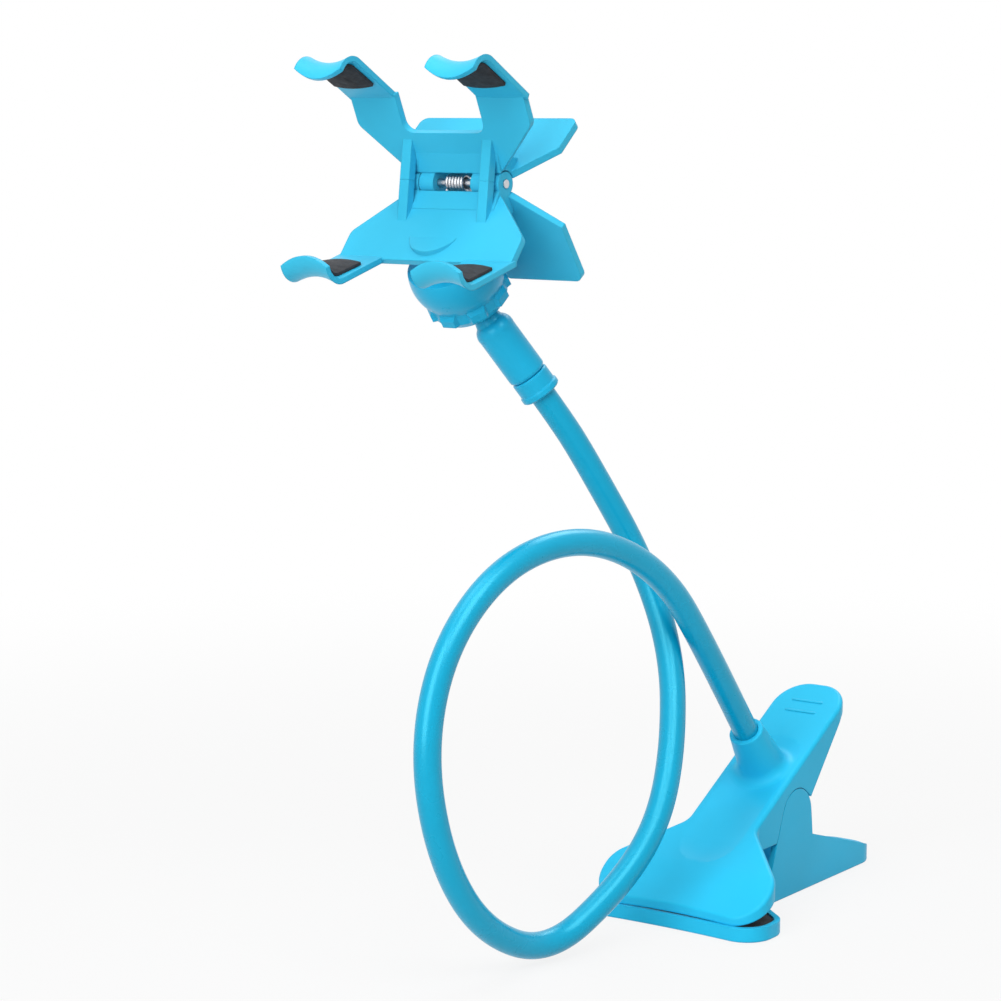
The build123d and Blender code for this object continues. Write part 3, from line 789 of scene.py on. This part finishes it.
@dataclass
class Studio:
    """Pale floor, soft lamps, white surround and the camera.

    The floor fades to plain white between two distances from the object, which leaves its shadow near it.
    """

    camera_place: Point = (0.5167, -0.8737, 0.288)
    azimuth: float = 36.0
    down: float = 8.0
    lens: float = 100.7
    sensor: float = 36.0
    far_clip: float = 50.0
    floor_size: float = 12.0
    floor_white: float = 0.62
    floor_glow: float = 0.85
    glow_from: float = 0.20
    glow_to: float = 0.75
    surround: float = 0.26
    aim: Point = (-0.03, -0.07, 0.13)
    lamps: tuple[Lamp, ...] = (
        Lamp("key_lamp", (0.80, -0.62, 1.40), width=1.00, height=1.00, power=12.5),
        Lamp("strip_lamp", (0.06, -1.25, 0.66), width=0.78, height=1.20, power=11.5),
        Lamp("top_lamp", (-0.35, -0.35, 1.60), width=1.00, height=1.00, power=6.0),
        Lamp("rim_lamp", (-0.25, 0.95, 1.35), width=0.80, height=0.80, power=6.0),
    )

    def build(self) -> None:
        """Make the floor, the surround, the lamps and the camera."""
        bpy.context.scene.view_settings.view_transform = "Standard"
        self.make_floor()
        self.make_surround()
        for lamp in self.lamps:
            self.make_lamp(lamp)
        self.make_camera()

    def make_floor(self) -> None:
        """Flat pale floor under the object."""
        half = self.floor_size / 2
        mesh = bpy.data.meshes.new("floor")
        corners = [(-half, -half, 0.0), (half, -half, 0.0), (half, half, 0.0), (-half, half, 0.0)]
        mesh.from_pydata(corners, [], [(0, 1, 2, 3)])
        mesh.materials.append(self.floor_material())
        floor = bpy.data.objects.new("floor", mesh)
        bpy.context.scene.collection.objects.link(floor)

    def floor_material(self) -> bpy.types.Material:
        """Material that looks white to the camera and keeps a soft shadow near the object.

        Returns:
            The new material.
        """
        material = bpy.data.materials.new("floor_white")
        material.use_nodes = True
        tree = material.node_tree
        tree.nodes.clear()
        add = tree.nodes.new
        link = tree.links.new
        matte = add("ShaderNodeBsdfDiffuse")
        matte.inputs["Color"].default_value = (self.floor_white, self.floor_white, self.floor_white, 1.0)
        glow = add("ShaderNodeEmission")
        glow.inputs["Strength"].default_value = 1.0
        place = add("ShaderNodeTexCoord")
        reach = add("ShaderNodeVectorMath")
        reach.operation = "DISTANCE"
        reach.inputs[1].default_value = (self.aim[0], self.aim[1], 0.0)
        fade = add("ShaderNodeMapRange")
        fade.interpolation_type = "SMOOTHSTEP"
        fade.inputs["From Min"].default_value = self.glow_from
        fade.inputs["From Max"].default_value = self.glow_to
        fade.inputs["To Min"].default_value = self.floor_glow
        fade.inputs["To Max"].default_value = 1.0
        share = add("ShaderNodeMath")
        share.operation = "MULTIPLY"
        mix = add("ShaderNodeMixShader")
        output = add("ShaderNodeOutputMaterial")
        link(place.outputs["Object"], reach.inputs[0])
        link(reach.outputs["Value"], fade.inputs["Value"])
        link(self.seen(tree), share.inputs[0])
        link(fade.outputs["Result"], share.inputs[1])
        link(share.outputs[0], mix.inputs["Fac"])
        link(matte.outputs["BSDF"], mix.inputs[1])
        link(glow.outputs["Emission"], mix.inputs[2])
        link(mix.outputs["Shader"], output.inputs["Surface"])
        return material

    def seen(self, tree: bpy.types.NodeTree) -> bpy.types.NodeSocket:
        """Test for the rays that show a background: camera, glossy and transmission rays.

        Args:
            tree: the node tree that gets the test.

        Returns:
            The socket that is 1 for those rays and 0 for all others.
        """
        path = tree.nodes.new("ShaderNodeLightPath")
        first = tree.nodes.new("ShaderNodeMath")
        first.operation = "MAXIMUM"
        second = tree.nodes.new("ShaderNodeMath")
        second.operation = "MAXIMUM"
        tree.links.new(path.outputs["Is Camera Ray"], first.inputs[0])
        tree.links.new(path.outputs["Is Glossy Ray"], first.inputs[1])
        tree.links.new(first.outputs[0], second.inputs[0])
        tree.links.new(path.outputs["Is Transmission Ray"], second.inputs[1])
        return second.outputs[0]

    def make_surround(self) -> None:
        """White surround for the camera and an even grey one for the light."""
        world = bpy.data.worlds.new("surround")
        bpy.context.scene.world = world
        world.use_nodes = True
        tree = world.node_tree
        tree.nodes.clear()
        light = tree.nodes.new("ShaderNodeBackground")
        light.inputs["Strength"].default_value = self.surround
        white = tree.nodes.new("ShaderNodeBackground")
        white.inputs["Strength"].default_value = 1.0
        for background in (light, white):
            background.inputs["Color"].default_value = WHITE
        mix = tree.nodes.new("ShaderNodeMixShader")
        output = tree.nodes.new("ShaderNodeOutputWorld")
        tree.links.new(self.seen(tree), mix.inputs["Fac"])
        tree.links.new(light.outputs["Background"], mix.inputs[1])
        tree.links.new(white.outputs["Background"], mix.inputs[2])
        tree.links.new(mix.outputs["Shader"], output.inputs["Surface"])

    def make_lamp(self, lamp: Lamp) -> None:
        """Area light that is aimed at the middle of the object.

        Args:
            lamp: name, place, size and power of the light.
        """
        data = bpy.data.lights.new(lamp.name, "AREA")
        data.shape = "RECTANGLE"
        data.energy = lamp.power
        data.size = lamp.width
        data.size_y = lamp.height
        light = bpy.data.objects.new(lamp.name, data)
        light.location = lamp.place
        light.rotation_euler = (Vector(self.aim) - Vector(lamp.place)).to_track_quat("-Z", "Y").to_euler()
        bpy.context.scene.collection.objects.link(light)

    def make_camera(self) -> None:
        """Camera at the photograph's viewing angle, level and with no shift."""
        turn = math.radians(self.azimuth)
        dip = math.radians(self.down)
        forward = Vector((-math.sin(turn) * math.cos(dip), math.cos(turn) * math.cos(dip), -math.sin(dip)))
        data = bpy.data.cameras.new("camera")
        data.lens = self.lens
        data.sensor_width = self.sensor
        data.clip_end = self.far_clip
        camera = bpy.data.objects.new("camera", data)
        camera.location = self.camera_place
        camera.rotation_euler = forward.to_track_quat("-Z", "Y").to_euler()
        bpy.context.scene.collection.objects.link(camera)
        bpy.context.scene.camera = camera


def main() -> None:
    """Build the holder's pieces in order, then the studio."""
    logging.basicConfig(level=logging.INFO, format="%(message)s")
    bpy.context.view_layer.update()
    shop = Workshop()
    for assembly in (ClampFoot(), Gooseneck(), BallJoint(), ClawClip()):
        assembly.build(shop)
    Studio().build()


if __name__ == "__main__":
    main()
